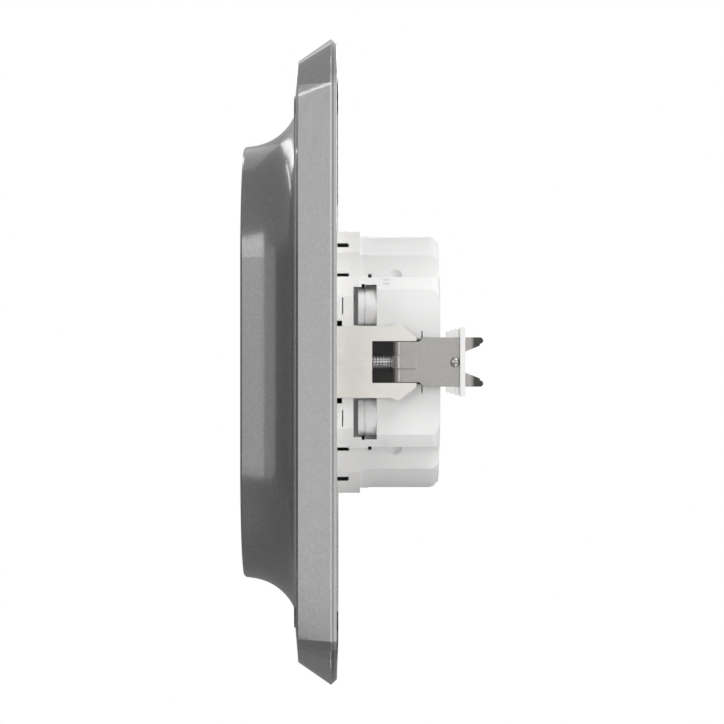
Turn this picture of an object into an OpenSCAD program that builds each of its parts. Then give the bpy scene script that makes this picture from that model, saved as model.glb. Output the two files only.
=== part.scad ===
// Double earthed wall socket for one round flush box.
// Every piece is drawn in the wall's frame: x is the width, y runs up the wall and z stands out of
// the wall towards the room. upright() then stands it up, with the room at -Y and the wall at y = 0.

/* [Frame] */
// Width of the outer frame
frame_w = 88; // [86:1:96]
// Length of the outer frame
frame_l = 140; // [139:1:150]
// Corner radius at the frame's widest edge
frame_corner_r = 10.4; // [9:0.1:13]
// Height of the widest edge over the wall
frame_edge_h = 1.25; // [1:0.05:1.6]
// How far the rear rim stands back inside the widest edge
frame_rear_inset = 1.2; // [0.8:0.1:1.6]
// Height of the front edge over the wall
frame_front_h = 8.35; // [8.2:0.05:8.7]
// How far the front edge stands back inside the widest edge
frame_bevel_inset = 4.9; // [4.4:0.1:5.2]
// Height of the frame at its opening
frame_opening_h = 9.05; // [8.9:0.05:9.2]
// Wall of the frame
frame_wall = 1.9; // [1.6:0.1:2.2]

/* [Cover] */
// Width of the cover's flange
flange_w = 70; // [69.9:0.1:70.6]
// Length of the cover's flange
flange_l = 116; // [115.9:0.1:117]
// Corner radius of the flange
flange_corner_r = 5; // [3:0.5:6]
// Height of the flange's face over the wall
flange_h = 9.3; // [9.25:0.05:9.5]
// Thickness of the flange
flange_t = 1.9; // [1.6:0.1:2.1]
// Height of the raised front over the wall
front_h = 21.3; // [21:0.1:22]
// Rim of plastic round each well
rim = 6.5; // [6:0.1:6.6]
// Radius of the concave flare round the raised front
flare_r = 12; // [11.9:0.05:12.1]
// Draft of the raised front's side
draft_deg = 7; // [6:0.5:8]
// Length of the drafted side before the flare
draft_l = 2; // [1.8:0.1:2.2]
// Wall of the cover
cover_wall = 1.9; // [1.6:0.1:2.1]

/* [Wells] */
// Diameter of a well
well_d = 39.5; // [39.3:0.1:39.8]
// Depth of a well
well_depth = 17.5; // [17.3:0.1:17.6]
// Distance between the two pins of a plug
pin_pitch = 19; // [18.9:0.1:19.1]
// Diameter of a plug's pin
pin_d = 4.8; // [4.7:0.1:4.9]
// Length of a plug's pin
pin_l = 19; // [18.8:0.1:19.2]
// Width of a guide nose in the well's side
nose_w = 5.4; // [5:0.1:5.8]
// How far a guide nose stands into the well
nose_reach = 2; // [1.6:0.1:2.2]
// Width of an earth clip
clip_w = 5; // [4.5:0.1:5.4]
// How far an earth clip stands into the well at its bulge
clip_reach = 2.6; // [2.2:0.1:2.8]

/* [Housing] */
// Radius of the round body in the flush box
body_r = 28.7; // [28.5:0.1:29]
// Depth of the body behind the wall
body_depth = 22.8; // [22.6:0.1:24]
// Radius of the collar that bears on the support plate
collar_r = 30; // [29.9:0.05:30.2]
// Depth of the collar
collar_depth = 5.1; // [4.8:0.1:5.4]
// Wall of the housing
body_wall = 1.8; // [1.6:0.1:2]
// Half width across the flats on the two claw sides
side_flat_x = 23.8; // [23.6:0.1:24]
// Half width of the two lobes over the pin contacts
lobe_x = 16; // [15.8:0.1:18]
// Half height of the middle block between the lobes
block_y = 18.8; // [18.5:0.1:19.5]
// Radius of the rear edge of the lobes
lobe_fillet_r = 2; // [1.6:0.1:2.5]
// Radius of the round housing of a spring beside each strap
drum_r = 4.15; // [4:0.05:4.2]

/* [Support plate] */
// Thickness of the steel plate
plate_t = 1; // [0.9:0.05:1.05]
// Distance between the two box screws
box_screw_pitch = 60; // [59.8:0.1:60.4]
// Diameter of a box screw hole
box_hole_d = 3.5; // [3.2:0.1:3.6]
// Radius of the ring's opening
ring_inner_r = 29.2; // [29.1:0.05:29.4]
// Outer radius of the ring
ring_outer_r = 36; // [35.6:0.1:36.4]
// Half width of a folded strap
strap_y = 7.8; // [7.6:0.1:8]
// Reach of a strap behind the wall
strap_depth = 17.4; // [17.2:0.1:17.5]

/* [Claws] */
// Width of a claw
claw_w = 10.8; // [10.6:0.1:11]
// Reach of a claw behind the wall
claw_depth = 32; // [31.8:0.1:33]
// Thickness of a claw's sheet
claw_t = 1; // [0.9:0.05:1.1]
// Distance of a claw screw from the middle of the body
claw_screw_x = 23.9; // [23.8:0.05:24]
// Diameter of a claw screw
claw_screw_d = 3; // [2.9:0.1:3]
// Width of a claw's plastic keeper
keeper_w = 15.2; // [15:0.1:16]

/* [Contacts] */
// Thickness of the brass contact strips
strip_t = 0.8; // [0.7:0.05:0.9]
// Thickness of the earth strip
earth_t = 0.8; // [0.7:0.05:0.9]
// Diameter of a terminal screw
terminal_screw_d = 3.5; // [3:0.1:3.6]

/* [Hidden] */
$fn = 96;

// Overrun of every cut, and the clearances that the fits share
overrun = 1;
skin = 0.01;
seat_gap = 0.1;
slip_gap = 0.15;
loose_gap = 0.3;

// Wells and front: the rim is as wide between the wells as round them
well_r = well_d / 2;
well_pitch = well_d + rim;
well_y = well_pitch / 2;
front_r = well_r + rim;
floor_h = front_h - well_depth;
floor_t = 1.8;
cup_wall = 1.6;
cup_r = well_r + cup_wall;
draft_h = front_h - draft_l;
draft_r = front_r + draft_l * tan(draft_deg);
flare_x = draft_r + flare_r * cos(draft_deg);
flare_h = draft_h + flare_r * sin(draft_deg);
front_edge_r = 0.4;

// Room between the widest edge of the frame and the support plate behind it
plate_margin = frame_rear_inset + frame_wall + loose_gap;

// Fit of the cover in the frame
opening_w = flange_w + 2 * slip_gap;
opening_l = flange_l + 2 * slip_gap;
ledge = 1.6;
ledge_h = flange_h - flange_t;

// Pins, guides and earth clips of a well
pin_x = pin_pitch / 2;
pin_hole_d = pin_d + 2 * loose_gap;
clip_leg_t = earth_t;
clip_outer_y = well_r + clip_leg_t + seat_gap;
clip_slot_w = clip_w + 2 * loose_gap;
clip_l = 13;
clip_top_h = floor_h + clip_l;
nose_setback = 2.5;
nose_h = front_h - nose_setback;

// Screws through the cover, and the shares of a head that a cross recess takes
recess_w_share = 0.1;
recess_l_share = 0.55;
cover_screw_d = 3;
cover_screw_head_d = 5.6;
cover_screw_head_h = 1.5;
cover_screw_l = 12;
assembly_screw_y = 11.2;
assembly_screw_d = 2.5;
assembly_screw_head_d = 4.6;
assembly_screw_head_h = 0.8;
assembly_screw_l = 10;

// Housing
step_proud = 0.25;
step_depth = 6.9;
collar_lobe_x = 17.3;
partition_t = 1;
partition_x = 4.9;
lid_t = 1;
lid_r = ring_inner_r - seat_gap;
lid_flat_x = 26.2;
channel_y = 5.2;
channel_x = 17.6;
seat_half_x = 4.4;
seat_half_y = 4;
rib_y = 7.2;
boss_r = 3.1;
floor_depth = body_depth - body_wall;

// Pockets beside the straps: each holds a drum, and its front part is lower than its rear part
pocket_x = 18.9;
pocket_wall = 1;
pocket_low_y = 8;
pocket_high_y = 17.1;
pocket_front_high_y = 16.6;
pocket_front_depth = 3.6;
pocket_step_depth = 6.2;
pocket_rear_depth = 8.75;
drum_x = side_flat_x - drum_r;
drum_y = 12.2;
drum_front_depth = 4.65;
groove_t = 0.25;

// Small openings in the housing's sides: inner x, low y and high y as shares of the body's radius,
// then low and high depth as shares of its depth
side_cut_shares = [
    [0.383, 0.895, 0.923, -0.05, 0.114],
    [0.46, 0.659, 0.69, -0.05, 0.114],
    [0.46, 0.652, 0.673, 0.3, 0.331],
    [0.67, 0.575, 0.6, 0.237, 0.268],
    [0.749, 0.366, 0.495, 0.048, 0.059],
    [0.749, 0.275, 0.317, -0.05, 0.048],
    [0.63, 0.178, 0.24, 0.816, 0.827]
];

// Marks on the block: two fine ribs and a dimple at the foot of each lobe
rib_ys = [17.55, 18.4];
rib_t = 0.2;
rib_proud = 0.25;
rib_low_depth = 10.35;
rib_high_depth = 11.8;
dimple_r = 1.7;
dimple_out = 0.9;
dimple_up = 0.5;
dimple_depth = 13;

// Strap, claw and keeper, seen on the right side
strap_x = lid_flat_x + slip_gap + skin;
strap_t = 1.1;
strap_window_depth = 7.7;
strap_prong_y = 4.6;
strap_tip_y = 5.4;
strap_ear_y = 0.7;
strap_ear_depth = 13.6;
strap_ear_l = 2;
claw_x = strap_x + (strap_t - claw_t) / 2;
claw_neck_w = 2 * (strap_prong_y - slip_gap);
claw_front_depth = 12.4;
claw_bend_r = 1.6;
claw_shoulder_depth = strap_depth + 2 * loose_gap;
claw_shoulder_l = 1;
claw_tab_x = 21.6;
claw_notch_root_y = 1.8;
claw_notch_tip_y = 3.9;
claw_tooth_r = 0.7;
claw_tip_l = 2.3;
claw_tip_depth = claw_depth - claw_tip_l;
claw_tip_deg = 24;
claw_hole_d = 4;
claw_rib_w = 3;
claw_rib_t = 0.25;
claw_rib_depth = 17.4;
claw_rivet_r = 1.05;
claw_rivet_dome_r = 1.4;
claw_rivet_t = 0.6;
keeper_inset = 6.1;
keeper_depth = claw_depth - keeper_inset;
keeper_step_t = 1.1;
keeper_t = 2.2;
keeper_step_depth = keeper_depth + keeper_step_t;
claw_notch_depth = keeper_step_depth;
claw_rivet_depth = keeper_depth;
keeper_wall = 0.9;
keeper_step_y = 0.3;
claw_screw_l = 23.8;
claw_screw_head_d = 5.4;
claw_screw_head_h = 2;
claw_screw_tip_l = 1;
claw_screw_tip_d = 1.5;

// Pin contacts
strip_w = 6.4;
strip_depth = pin_l - floor_h + 2 * loose_gap + strip_t;
strip_top = strip_t - strip_depth;
leaf_w = 3.4;
leaf_gap = 0.1;
leaf_pinch_x = pin_d / 2 - leaf_gap;
leaf_x = 2.7;
leaf_bend_h = -9;
leaf_pinch_h = -6;
leaf_mouth_h = -2;
leaf_turn_deg = atan2(pin_x, well_y);

// Earth strip
earth_strip_w = 8.4;
earth_leg_x = 3.4;
earth_leg_y = 4.5;
clip_straight_l = 2;
clip_bulge_l = 8;
clip_bulge_h = floor_h + clip_bulge_l;

// Terminals
terminal_x = 12.6;
clamp_gap = 1.8;
clamp_t = 1;
clamp_w = 6.4;
terminal_head_d = 5;
terminal_head_h = 1.8;
terminal_access_d = terminal_head_d + 2 * slip_gap;
terminal_tip_l = 3;
wire_hole_d = 3.2;
wire_hole_y = 4.8;

// Colours of the finishes
silver_paint = [0.62, 0.62, 0.63];
white_plastic = [0.93, 0.93, 0.92];
zinc_steel = [0.80, 0.79, 0.76];
bare_steel = [0.62, 0.61, 0.59];
brass_colour = [0.78, 0.66, 0.36];

// Stands a piece drawn on the wall upright in the row's frame
module upright() {
    rotate([90, 0, 0]) children();
}

// Rectangle with round corners
module rounded_plan(w, l, r) {
    union() {
        square([w - 2 * r, l], center = true);
        square([w, l - 2 * r], center = true);
        for (sx = [-1, 1], sy = [-1, 1])
            translate([sx * (w / 2 - r), sy * (l / 2 - r)]) circle(r);
    }
}

// A layer of a plan from one height to another
module layer(low, high) {
    translate([0, 0, low]) linear_extrude(height = high - low) children();
}

// A round bar from one height to another
module bar(r, low, high) {
    translate([0, 0, low]) cylinder(h = high - low, r = r);
}

// A box between two corners
module block(low, high) {
    translate(low) cube(high - low);
}

// Copies of a piece in all four quarters, mirrored about the middle
module quarters() {
    for (s = [0, 1], t = [0, 1]) mirror([s, 0, 0]) mirror([0, t, 0]) children();
}

// A half section turned round both ends and run straight between them
module stadium_sweep() {
    for (s = [0, 180]) rotate([0, 0, s]) translate([0, well_y, 0])
        rotate_extrude(angle = 180) children();
    rotate([90, 0, 0]) linear_extrude(height = well_pitch, center = true) {
        children();
        mirror([1, 0]) children();
    }
}

// Frame

// A thin layer of the frame's outline at a height, set in from its widest edge
module frame_ring(height, inset) {
    translate([0, 0, height]) linear_extrude(height = skin)
        rounded_plan(frame_w - 2 * inset, frame_l - 2 * inset, frame_corner_r - inset);
}

function bevel_inset(height) =
    frame_bevel_inset * (height - frame_edge_h) / (frame_front_h - frame_edge_h);

module frame_outside() {
    hull($fn = 32) {
        frame_ring(0, frame_rear_inset);
        frame_ring(frame_edge_h, 0);
        frame_ring(frame_front_h, frame_bevel_inset);
        translate([0, 0, frame_opening_h - skin]) linear_extrude(height = skin)
            rounded_plan(opening_w, opening_l, flange_corner_r);
    }
}

module frame_inside() {
    hollow_h = ledge_h - frame_wall;
    hull($fn = 32) {
        frame_ring(-skin, frame_rear_inset + frame_wall);
        frame_ring(frame_edge_h, frame_wall);
        frame_ring(hollow_h, bevel_inset(hollow_h) + frame_wall);
    }
}

// Bevelled frame with a pocket that the cover's flange lies in
module cover_frame() {
    color(silver_paint) upright() difference() {
        frame_outside();
        frame_inside();
        layer(ledge_h, frame_opening_h + overrun)
            rounded_plan(opening_w, opening_l, flange_corner_r + slip_gap);
        layer(-overrun, ledge_h + overrun)
            rounded_plan(opening_w - 2 * ledge, opening_l - 2 * ledge, flange_corner_r - ledge);
    }
}

// Cover

function flare_foot_x(inset, height) =
    flare_x - sqrt(pow(flare_r + inset, 2) - pow(flare_h - height, 2));

function draft_foot(inset) =
    [draft_r - inset * cos(draft_deg), draft_h - inset * sin(draft_deg)];

function front_corner_x(inset) =
    draft_foot(inset)[0] - (front_h - inset - draft_foot(inset)[1]) * tan(draft_deg);

// Half section of the raised front: a drafted side that flares out to the flange
module front_section(inset, foot_h, low) {
    difference() {
        polygon([
            [0, low],
            [flare_foot_x(inset, foot_h), low],
            [flare_foot_x(inset, foot_h), foot_h],
            draft_foot(inset),
            [front_corner_x(inset), front_h - inset - front_edge_r],
            [front_corner_x(inset) - front_edge_r, front_h - inset],
            [0, front_h - inset]
        ]);
        translate([flare_x, flare_h]) circle(flare_r + inset);
    }
}

module well_cup() {
    bar(cup_r, floor_h - floor_t, front_h - front_edge_r);
}

// Guide noses that key a plug, one on each side of the well
module guide_noses() {
    for (s = [-1, 1]) intersection() {
        block([s * well_r - nose_reach, -nose_w / 2, floor_h - skin],
            [s * well_r + nose_reach, nose_w / 2, nose_h]);
        bar(well_r + skin, floor_h - skin, nose_h);
    }
}

// What is cut out of each well: the hollow, two pin holes, the screw hole and two clip slots
module well_cuts() {
    bar(well_r, floor_h, front_h + overrun);
    for (s = [-1, 1]) translate([s * pin_x, 0, 0])
        bar(pin_hole_d / 2, floor_h - floor_t - overrun, floor_h + overrun);
    translate([0, 0, floor_h])
        countersunk_shape(cover_screw_d, cover_screw_head_d, cover_screw_head_h, cover_screw_l, seat_gap);
    for (a = [0, 180]) rotate([0, 0, a])
        block([-clip_slot_w / 2, well_r - nose_reach, floor_h - floor_t - overrun],
            [clip_slot_w / 2, cup_r + overrun, clip_top_h + 2 * loose_gap]);
}

// Cover moulded in one piece: flange, flared raised front and the two well cups behind it
module cover() {
    color(silver_paint) upright() union() {
        difference() {
            union() {
                difference() {
                    union() {
                        layer(ledge_h, flange_h) rounded_plan(flange_w, flange_l, flange_corner_r);
                        intersection() {
                            stadium_sweep() front_section(0, flange_h, ledge_h);
                            layer(0, front_h + overrun) rounded_plan(flange_w, flange_l, flange_corner_r);
                        }
                    }
                    intersection() {
                        stadium_sweep() front_section(cover_wall, ledge_h, ledge_h - overrun);
                        layer(0, front_h)
                            square([opening_w - 2 * ledge, opening_l - 2 * ledge], center = true);
                    }
                }
                for (s = [-1, 1]) translate([0, s * well_y, 0]) well_cup();
            }
            for (s = [-1, 1]) translate([0, s * well_y, 0]) well_cuts();
        }
        for (s = [-1, 1]) translate([0, s * well_y, 0]) guide_noses();
    }
}

// Pan head screw that points into the wall, with a cross recess in its head
module pan_screw(d, head_d, head_h, l) {
    recess_w = recess_w_share * head_d;
    recess_l = recess_l_share * head_d;
    difference() {
        union() {
            bar(head_d / 2, 0, head_h);
            bar(d / 2, -l, 0);
        }
        for (a = [0, 90]) rotate([0, 0, a])
            block([-recess_l / 2, -recess_w / 2, head_h / 2], [recess_l / 2, recess_w / 2, head_h + overrun]);
    }
}

// Shape of a countersunk screw, flush at height zero, or of its hole with a gap all round
module countersunk_shape(d, head_d, head_h, l, gap) {
    translate([0, 0, -head_h])
        cylinder(h = head_h + skin, r1 = d / 2 + gap, r2 = head_d / 2 + gap);
    bar(d / 2 + gap, -l - gap, skin - head_h);
}

// Countersunk screw with a cross recess
module countersunk_screw(d, head_d, head_h, l) {
    recess_w = recess_w_share * head_d;
    recess_l = recess_l_share * head_d;
    difference() {
        countersunk_shape(d, head_d, head_h, l, 0);
        for (a = [0, 90]) rotate([0, 0, a])
            block([-recess_l / 2, -recess_w / 2, -head_h / 2], [recess_l / 2, recess_w / 2, overrun]);
    }
}

// One screw in the middle of each well
module cover_screws() {
    color(bare_steel) upright() for (s = [-1, 1]) translate([0, s * well_y, floor_h - skin])
        countersunk_screw(cover_screw_d, cover_screw_head_d, cover_screw_head_h, cover_screw_l);
}

// Support plate

// Outline of a strap, drawn with the depth along x: ears, and prongs cut at a slant
module strap_outline() {
    difference() {
        union() {
            translate([-plate_t, -strap_y]) square([strap_ear_depth - strap_ear_l + plate_t, 2 * strap_y]);
            for (s = [-1, 1]) polygon([
                [strap_ear_depth - strap_ear_l - skin, 0],
                [strap_ear_depth - strap_ear_l - skin, s * strap_y],
                [strap_ear_depth, s * (strap_y + strap_ear_y)],
                [strap_depth, s * strap_tip_y],
                [strap_depth, 0]
            ]);
        }
        translate([strap_window_depth, -strap_prong_y])
            square([strap_depth - strap_window_depth + overrun, 2 * strap_prong_y]);
    }
}

// A sheet that stands behind the wall on the right side, from an outline with the depth along x
module side_sheet(x, t) {
    translate([x, 0, 0]) rotate([0, 90, 0]) linear_extrude(height = t) children();
}

// Steel ring with the two straps folded back from the sides of its opening
module support_plate() {
    color(zinc_steel) upright() difference() {
        union() {
            layer(0, plate_t) difference() {
                intersection() {
                    circle(ring_outer_r);
                    square([frame_w - 2 * plate_margin, frame_l - 2 * plate_margin], center = true);
                }
                intersection() {
                    circle(ring_inner_r);
                    square([2 * strap_x, 2 * ring_outer_r], center = true);
                }
            }
            for (s = [0, 1]) mirror([s, 0, 0]) side_sheet(strap_x, strap_t) strap_outline();
        }
        for (s = [-1, 1]) translate([s * box_screw_pitch / 2, 0, 0])
            bar(box_hole_d / 2, -overrun, plate_t + overrun);
    }
}

// Housing

// Plan of the body behind the collar: a middle block with a lobe at each end
module body_plan(inset) {
    intersection() {
        circle(body_r - inset);
        union() {
            square([2 * (side_flat_x - inset), 2 * (block_y - inset)], center = true);
            square([2 * (lobe_x - inset), 2 * body_r], center = true);
        }
    }
}

// Round body with a rounded rear edge
module body_turned() {
    mirror([0, 0, 1]) rotate_extrude() union() {
        square([body_r, body_depth - lobe_fillet_r]);
        square([body_r - lobe_fillet_r, body_depth]);
        translate([body_r - lobe_fillet_r, body_depth - lobe_fillet_r]) circle(lobe_fillet_r);
    }
}

// Plan of the collar: round at both ends, cut back beside the lobes
module collar_plan() {
    intersection() {
        circle(collar_r);
        union() {
            square([2 * lid_flat_x, 2 * block_y], center = true);
            square([2 * collar_lobe_x, 2 * collar_r], center = true);
        }
    }
}

module base_outside() {
    intersection() {
        body_turned();
        layer(-body_depth - overrun, 0) body_plan(0);
    }
    layer(-step_depth, 0) body_plan(-step_proud);
    layer(-collar_depth, 0) collar_plan();
}

// Pocket beside a strap, open to the side
module pocket() {
    block([pocket_x, pocket_low_y, -pocket_rear_depth],
        [collar_r + overrun, pocket_high_y, -pocket_step_depth]);
    block([pocket_x, pocket_low_y, -pocket_step_depth - skin],
        [collar_r + overrun, pocket_front_high_y, -pocket_front_depth]);
}

// Walls round a pocket, inside the housing
module pocket_walls() {
    block([pocket_x - pocket_wall, channel_y, -pocket_rear_depth - pocket_wall],
        [body_r, block_y, pocket_wall - pocket_front_depth]);
}

// Round housing of a spring, with a groove behind its front ring
module drum() {
    intersection() {
        translate([drum_x, drum_y, 0]) difference() {
            bar(drum_r, -pocket_rear_depth - skin, -drum_front_depth);
            difference() {
                bar(drum_r + overrun, -pocket_step_depth, groove_t - pocket_step_depth);
                bar(drum_r - groove_t, -pocket_step_depth - overrun, groove_t - pocket_step_depth + overrun);
            }
        }
        block([pocket_x - skin, 0, -body_depth], [body_r, body_r, 0]);
    }
}

// Fine ribs on the rounded corner of the block
module block_ribs() {
    for (y = rib_ys) intersection() {
        bar(body_r + rib_proud, -rib_high_depth, -rib_low_depth);
        block([lobe_x, y - rib_t / 2, -rib_high_depth], [body_r, y + rib_t / 2, -rib_low_depth]);
    }
}

// Walls, seats and bosses inside the housing
module base_inside_walls() {
    intersection() {
        layer(-body_depth, 0) body_plan(body_wall / 2);
        union() {
            for (s = [-1, 1]) {
                translate([s * partition_x, 0, 0])
                    block([-partition_t / 2, -body_r, -body_depth], [partition_t / 2, body_r, 0]);
                block([min(s * (channel_x - partition_t), s * body_r), -channel_y - partition_t, -body_depth],
                    [max(s * (channel_x - partition_t), s * body_r), channel_y + partition_t, 0]);
                translate([0, s * rib_y, 0])
                    block([-channel_x, -partition_t / 2, -body_depth],
                        [channel_x, partition_t / 2, -strip_depth]);
                for (y = [assembly_screw_y, well_y]) translate([0, s * y, 0])
                    bar(boss_r, -body_depth, 0);
                for (t = [-1, 1]) translate([s * pin_x, t * well_y, 0])
                    block([-seat_half_x, -seat_half_y, -body_depth],
                        [seat_half_x, seat_half_y, -strip_depth]);
            }
            quarters() pocket_walls();
        }
    }
}

// Channels of the claws, pockets and small openings in the housing's sides
module side_openings() {
    for (s = [0, 1]) mirror([s, 0, 0])
        block([channel_x, -channel_y, -body_depth - overrun], [collar_r + overrun, channel_y, overrun]);
    quarters() {
        pocket();
        for (c = side_cut_shares) block([c[0] * body_r, c[1] * body_r, -c[4] * body_depth],
            [collar_r + overrun, c[2] * body_r, -c[3] * body_depth]);
        translate([lobe_x + dimple_out, block_y + dimple_up, -dimple_depth]) sphere(dimple_r);
    }
}

// Holes for the screws and the plugs' pins
module screw_and_pin_holes() {
    for (s = [-1, 1]) {
        translate([0, s * well_y, 0]) bar(cover_screw_d / 2 + slip_gap, -floor_depth, overrun);
        translate([0, s * assembly_screw_y, 0]) bar(assembly_screw_d / 2 + skin, -floor_depth, overrun);
        for (t = [-1, 1]) translate([s * pin_x, t * well_y, 0])
            bar(pin_hole_d / 2, -strip_depth, overrun);
    }
}

// Holes in the rear wall for the terminals' screwdriver and wires
module terminal_holes() {
    for (x = [-terminal_x, 0, terminal_x]) translate([x, 0, 0]) {
        bar(terminal_access_d / 2, -body_depth - overrun, -floor_depth + overrun);
        for (s = [-1, 1]) translate([0, s * wire_hole_y, 0])
            bar(wire_hole_d / 2, -body_depth - overrun, -floor_depth + overrun);
    }
}

// Round housing moulded in one piece, open to the front under the contact cover
module base() {
    color(white_plastic) upright() union() {
        difference() {
            union() {
                difference() {
                    base_outside();
                    layer(-floor_depth, overrun) body_plan(body_wall);
                }
                base_inside_walls();
            }
            side_openings();
            screw_and_pin_holes();
            terminal_holes();
        }
        quarters() drum();
        quarters() block_ribs();
    }
}

// Insulating cover that closes the contact chambers
module contact_cover() {
    color(white_plastic) upright() difference() {
        layer(0, lid_t) intersection() {
            circle(lid_r);
            square([2 * lid_flat_x, 2 * lid_r], center = true);
        }
        for (s = [-1, 1]) {
            for (t = [-1, 1]) translate([s * pin_x, t * well_y, 0])
                bar(pin_hole_d / 2, -overrun, lid_t + overrun);
            translate([0, s * well_y, 0]) bar(cover_screw_d / 2 + slip_gap, -overrun, lid_t + overrun);
            translate([0, s * assembly_screw_y, 0])
                bar(assembly_screw_d / 2 + slip_gap, -overrun, lid_t + overrun);
            translate([s * claw_screw_x, 0, 0])
                bar(claw_screw_d / 2 + slip_gap, -overrun, lid_t + overrun);
        }
        block([earth_leg_x - slip_gap, -earth_leg_y - slip_gap, -overrun],
            [earth_leg_x + earth_t + slip_gap, earth_leg_y + slip_gap, lid_t + overrun]);
    }
}

// Two countersunk screws that hold the housing, the support plate and the earth strip together
module assembly_screws() {
    color(bare_steel) upright() for (s = [-1, 1])
        translate([0, s * assembly_screw_y, plate_t + earth_t - skin])
            countersunk_screw(assembly_screw_d, assembly_screw_head_d, assembly_screw_head_h,
                assembly_screw_l);
}

// Contacts

// One leaf of a pin contact: straight up from the strip, pinched on the pin, flared at its mouth
module contact_leaf() {
    polygon([
        [leaf_x, strip_top - strip_t / 2],
        [leaf_x, leaf_bend_h],
        [leaf_pinch_x, leaf_pinch_h],
        [leaf_x, leaf_mouth_h],
        [leaf_x + strip_t, leaf_mouth_h],
        [leaf_pinch_x + strip_t, leaf_pinch_h],
        [leaf_x + strip_t, leaf_bend_h],
        [leaf_x + strip_t, strip_top - strip_t / 2]
    ]);
}

// Contact for one pin: two leaves that stand on the strip, turned to lie along the round wall
module pin_contact() {
    rotate([0, 0, -leaf_turn_deg]) rotate([90, 0, 0])
        linear_extrude(height = leaf_w, center = true) for (s = [0, 1]) mirror([s, 0]) contact_leaf();
}

// Strip that joins the two wells' contacts of one pole, with its terminal in the middle
module pole_strip() {
    difference() {
        union() {
            layer(-strip_depth, strip_top) intersection() {
                circle(body_r - body_wall - slip_gap);
                union() {
                    translate([pin_x, 0]) square([strip_w, 2 * (well_y + strip_w / 2)], center = true);
                    translate([pin_x - strip_w / 2, -rib_y - partition_t / 2])
                        square([terminal_x + clamp_w / 2 - pin_x + strip_w / 2, 2 * rib_y + partition_t]);
                }
            }
            for (s = [0, 1]) mirror([0, s, 0]) translate([pin_x, well_y, 0]) pin_contact();
        }
        translate([terminal_x, 0, 0])
            bar(terminal_screw_d / 2 + skin, -strip_depth - overrun, strip_top + overrun);
    }
}

module live_strip() {
    color(brass_colour) upright() pole_strip();
}

module neutral_strip() {
    color(brass_colour) upright() mirror([1, 0, 0]) pole_strip();
}

// Side view of an earth clip, drawn with its distance from the well's middle along x
module clip_section() {
    root = clip_outer_y - clip_leg_t;
    polygon([
        [root, plate_t],
        [root, floor_h + clip_straight_l],
        [well_r - clip_reach, clip_bulge_h],
        [root, clip_top_h],
        [clip_outer_y, clip_top_h],
        [well_r - clip_reach + clip_leg_t, clip_bulge_h],
        [clip_outer_y, floor_h + clip_straight_l],
        [clip_outer_y, plate_t]
    ]);
}

// Earth strip folded from one sheet: four spring clips and a leg to the earth terminal
module earth_strip() {
    color(brass_colour) upright() difference() {
        union() {
            layer(plate_t, plate_t + earth_t) union() {
                square([earth_strip_w, 2 * (well_y + clip_outer_y)], center = true);
            }
            for (s = [0, 1], t = [0, 1]) mirror([0, s, 0]) translate([0, well_y, 0]) mirror([0, t, 0])
                rotate([90, 0, 90]) linear_extrude(height = clip_w, center = true) clip_section();
            block([earth_leg_x, -earth_leg_y, -strip_depth],
                [earth_leg_x + earth_t, earth_leg_y, plate_t + earth_t]);
            block([-earth_leg_x, -rib_y - partition_t / 2, -strip_depth],
                [earth_leg_x + earth_t, rib_y + partition_t / 2, strip_top]);
        }
        for (s = [-1, 1]) {
            translate([0, s * well_y, 0])
                bar(cover_screw_d / 2 + skin, plate_t - overrun, plate_t + earth_t + overrun);
            translate([0, s * assembly_screw_y, plate_t + earth_t])
                countersunk_shape(assembly_screw_d, assembly_screw_head_d, assembly_screw_head_h,
                    assembly_screw_l, seat_gap);
        }
        bar(terminal_screw_d / 2 + skin, -strip_depth - overrun, strip_top + overrun);
    }
}

// Terminals

// Square pressure plate under a terminal screw's head
module terminal_clamp() {
    low = -strip_depth - clamp_gap - clamp_t;
    difference() {
        block([-clamp_w / 2, -clamp_w / 2, low], [clamp_w / 2, clamp_w / 2, low + clamp_t]);
        bar(terminal_screw_d / 2 + seat_gap, low - overrun, low + clamp_t + overrun);
    }
}

// Terminal screw with its head towards the back of the housing
module terminal_screw() {
    head_depth = strip_depth + clamp_gap + clamp_t;
    translate([0, 0, -head_depth]) mirror([0, 0, 1])
        pan_screw(terminal_screw_d, terminal_head_d, terminal_head_h,
            head_depth - strip_depth + strip_t + terminal_tip_l);
}

module live_clamp() {
    color(zinc_steel) upright() translate([terminal_x, 0, 0]) terminal_clamp();
}

module neutral_clamp() {
    color(zinc_steel) upright() translate([-terminal_x, 0, 0]) terminal_clamp();
}

module earth_clamp() {
    color(zinc_steel) upright() terminal_clamp();
}

module live_terminal_screw() {
    color(zinc_steel) upright() translate([terminal_x, 0, 0]) terminal_screw();
}

module neutral_terminal_screw() {
    color(zinc_steel) upright() translate([-terminal_x, 0, 0]) terminal_screw();
}

module earth_terminal_screw() {
    color(zinc_steel) upright() terminal_screw();
}

// Claws

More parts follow.
